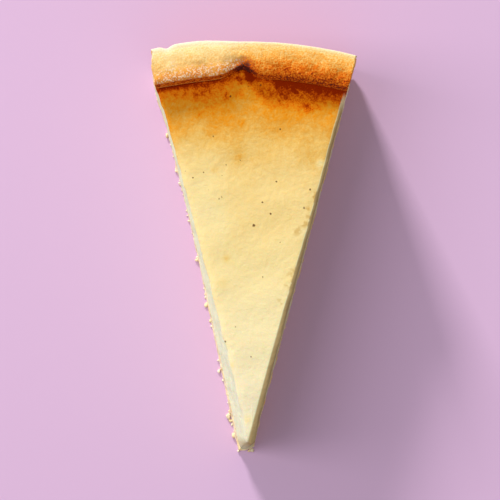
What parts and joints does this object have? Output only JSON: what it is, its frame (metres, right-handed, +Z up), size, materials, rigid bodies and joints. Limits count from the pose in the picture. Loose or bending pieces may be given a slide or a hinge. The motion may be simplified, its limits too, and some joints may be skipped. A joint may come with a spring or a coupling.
{
  "type": "baked cheesecake",
  "caption": "Wedge of baked cheesecake: a shortcrust shell with a browned, pleated rim at the back, and a tall pale filling that tapers to a blunt nose.",
  "frame": {"origin": "middle of the bounding box at the height of the table the wedge rests on", "axes": "+Z up; +Y along the wedge towards the rim, so the nose points to -Y; +X to the right when the nose is nearest the viewer"},
  "size_m": [0.0632, 0.1257, 0.046],
  "materials": {
    "pastry": "matt, sandy baked shortcrust, browned on the rim",
    "filling": "satin, set cheese custard, browned on top towards the rim"
  },
  "bodies": {
    "root": {"pastry_shell": "pastry", "cheese_filling": "filling"}
  },
  "joints": []
}
